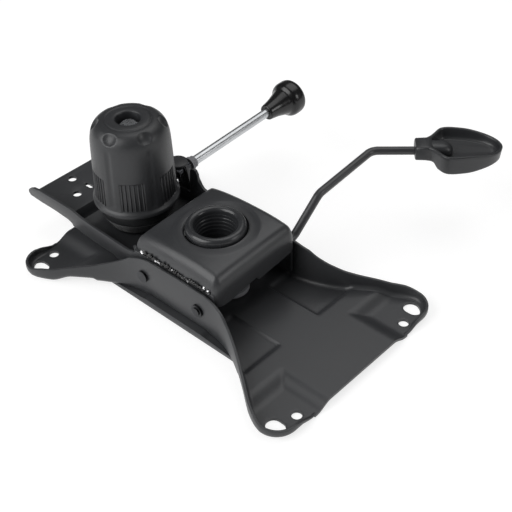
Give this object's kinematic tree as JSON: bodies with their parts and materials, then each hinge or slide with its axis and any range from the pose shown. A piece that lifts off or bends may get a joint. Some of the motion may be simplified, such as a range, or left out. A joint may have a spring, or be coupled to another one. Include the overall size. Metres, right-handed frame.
{
  "type": "chair push back mechanism",
  "caption": "Office chair tilt mechanism: butterfly seat plate, sprung tilting bracket with gas-lift socket, tension knob, lock lever and gas lever.",
  "frame": {"origin": "middle of the four slotted seat holes, on the seat face", "axes": "+X to the rear of the chair, +Y to the side of the two levers, +Z from the seat face to the column socket; shown as in the picture, resting on its seat face"},
  "size_m": [0.3276, 0.3193, 0.1227],
  "materials": {
    "black_steel": "matte black powder coat",
    "pin_steel": "black oxide",
    "socket_steel": "matte black powder coat",
    "weld": "glossy black over weld",
    "grey_nylon": "moulded nylon",
    "zinc_steel": "zinc plated",
    "spring_steel": "oiled spring steel",
    "dark_plastic": "satin moulded",
    "black_rod": "semi-matte black",
    "paddle_plastic": "satin moulded",
    "chrome_rod": "bright chrome",
    "gloss_knob": "glossy moulded"
  },
  "bodies": {
    "seat_frame": {"seat_plate": "black_steel", "pivot_axle": "pin_steel", "pivot_clip": "pin_steel", "stop_pin": "pin_steel", "stop_pin_washer": "pin_steel"},
    "bracket": {"tilt_bracket": "black_steel", "box_cover": "black_steel", "column_socket": "socket_steel", "weld_bead_near": "weld", "weld_bead_far": "weld", "pivot_bush_near": "grey_nylon", "pivot_bush_far": "grey_nylon", "lever_bush": "grey_nylon", "lock_guide": "black_steel"},
    "bolt": {"tension_bolt": "zinc_steel", "bolt_end_clip": "zinc_steel"},
    "cup": {"spring_cup": "dark_plastic", "tension_spring": "spring_steel"},
    "washer": {"thrust_washer": "zinc_steel"},
    "knob": {"tension_knob": "dark_plastic", "knob_nut": "zinc_steel"},
    "gas_handle": {"gas_lever_rod": "black_rod", "lever_paddle": "paddle_plastic", "release_pad": "grey_nylon", "lever_clip": "zinc_steel"},
    "lock_handle": {"lock_rod": "chrome_rod", "lock_knob": "gloss_knob", "lock_ferrule": "grey_nylon", "lock_rod_clip": "zinc_steel"}
  },
  "joints": [
    {"name": "tilt", "type": "hinge", "parent": "seat_frame", "child": "bracket", "pos_m": [0.0235, 0, 0.0245], "axis": [0, 1, 0], "range_deg": [0, 7], "stiffness_Nm_per_rad": 30, "springref_deg": -6.88},
    {"name": "bolt_rock", "type": "hinge", "parent": "seat_frame", "child": "bolt", "pos_m": [-0.0935, 0, 0.005], "axis": [0, 1, 0], "range_deg": [0, 1.42]},
    {"name": "cup_slide", "type": "slide", "parent": "bolt", "child": "cup", "axis": [0, 0, 1], "range_m": [0, 0.0156], "deforming": ["tension_spring"]},
    {"name": "tension_travel", "type": "slide", "parent": "bolt", "child": "washer", "axis": [0, 0, 1], "range_m": [0, 0.00439]},
    {"name": "tension_turn", "type": "hinge", "parent": "washer", "child": "knob", "pos_m": [-0.0935, 0, 0.101], "axis": [0, 0, 1], "range_deg": [0, 900]},
    {"name": "gas_lever", "type": "hinge", "parent": "bracket", "child": "gas_handle", "pos_m": [0.03, 0.04285, 0.037], "axis": [-1, 0, 0], "range_deg": [0, 5], "stiffness_Nm_per_rad": 1.5, "springref_deg": -11.46},
    {"name": "lock_slide", "type": "slide", "parent": "bracket", "child": "lock_handle", "axis": [0, 0.9989, 0.0471], "range_m": [0, 0.005]}
  ],
  "couplings": [
    {"joint": "bolt_rock", "follows": "tilt", "ratio": 0.2},
    {"joint": "cup_slide", "follows": "tilt", "m_per_rad": 0.1267},
    {"joint": "tension_travel", "follows": "tension_turn", "m_per_rad": 0.00027852}
  ]
}
